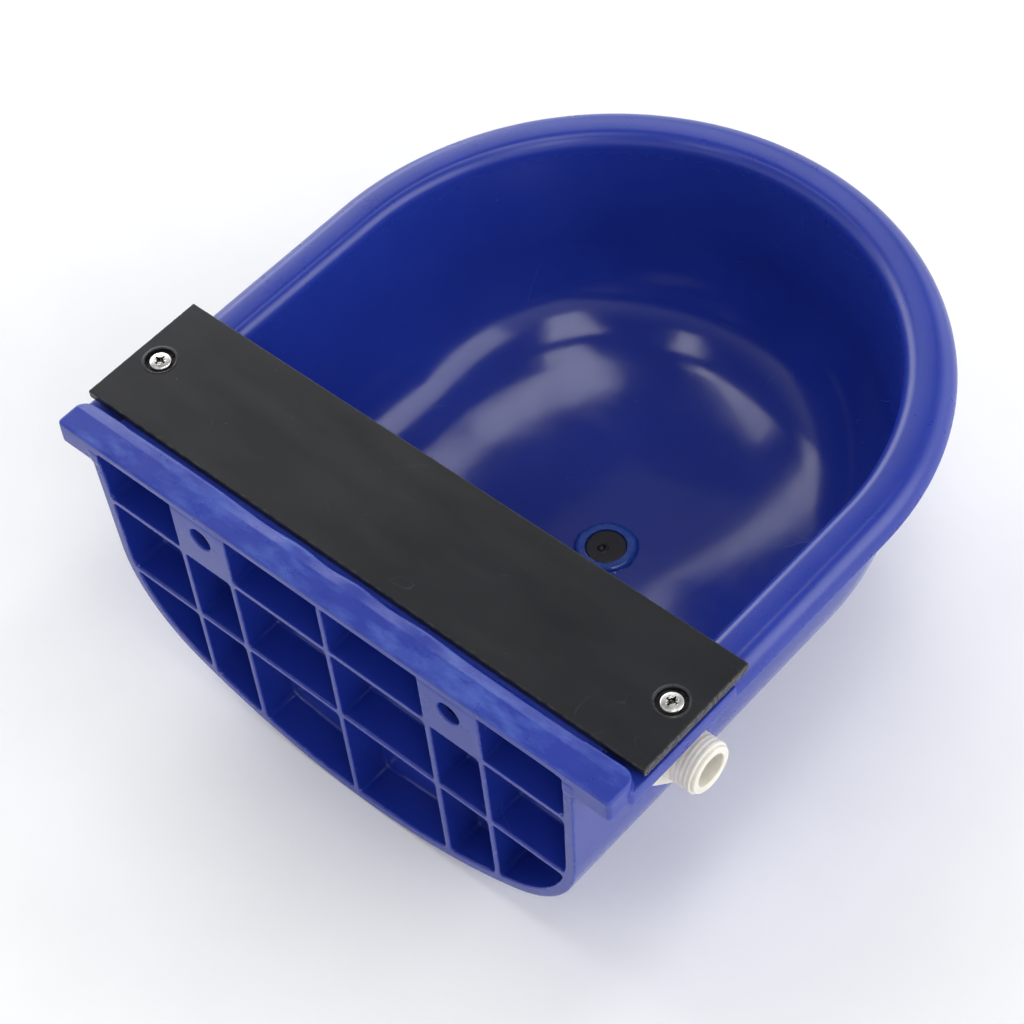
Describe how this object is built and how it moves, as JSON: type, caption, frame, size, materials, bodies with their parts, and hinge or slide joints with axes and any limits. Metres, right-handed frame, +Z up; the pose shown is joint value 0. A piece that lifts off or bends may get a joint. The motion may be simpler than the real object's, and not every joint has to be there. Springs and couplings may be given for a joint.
{
  "type": "livestock water trough",
  "caption": "D-shaped moulded water trough with a ribbed back panel for wall bolts, a flat cover over a side-inlet float valve, and a drain plug in the floor.",
  "frame": {"origin": "midway between the two wall-bolt holes, on the back face of the rib panel", "axes": "+Z up; +Y out of the back face towards the wall; the water inlet is on the -X side and the animal drinks from the -Y side"},
  "size_m": [0.271, 0.281, 0.1255],
  "materials": {
    "blue_plastic": "moulded polypropylene, satin gloss with fine scuffs",
    "black_plastic": "sheet plastic, matt, rough cut edges",
    "steel": "bright stainless steel",
    "nylon": "natural ivory nylon, satin",
    "rubber": "black rubber",
    "brass": "turned",
    "white_plastic": "moulded, satin"
  },
  "bodies": {
    "trough": {"bowl": "blue_plastic", "cover_plate": "black_plastic", "cover_screws": "steel", "valve_body": "nylon", "lock_nut": "nylon", "wall_gasket": "rubber", "jet": "brass", "barrel_cap": "nylon", "pivot_pin": "steel", "pin_clip": "steel"},
    "float": {"float_lever": "nylon", "float_arm": "steel", "arm_nuts": "steel", "float_upper": "white_plastic", "float_lower": "white_plastic"},
    "plunger": {"plunger": "white_plastic", "seal_disc": "rubber"},
    "drain_plug": {"drain_plug": "rubber"}
  },
  "joints": [
    {"name": "float_swing", "type": "hinge", "parent": "trough", "child": "float", "pos_m": [-0.076, -0.0445, -0.0295], "axis": [0, -1, 0], "range_deg": [0, 22]},
    {"name": "plunger_slide", "type": "slide", "parent": "trough", "child": "plunger", "axis": [-1, 0, 0], "range_m": [0, 0.0062]},
    {"name": "plug_pull", "type": "slide", "parent": "trough", "child": "drain_plug", "axis": [0, 0, -1], "range_m": [0, 0.02]}
  ],
  "couplings": [
    {"joint": "plunger_slide", "follows": "float_swing", "m_per_rad": 0.0159}
  ]
}
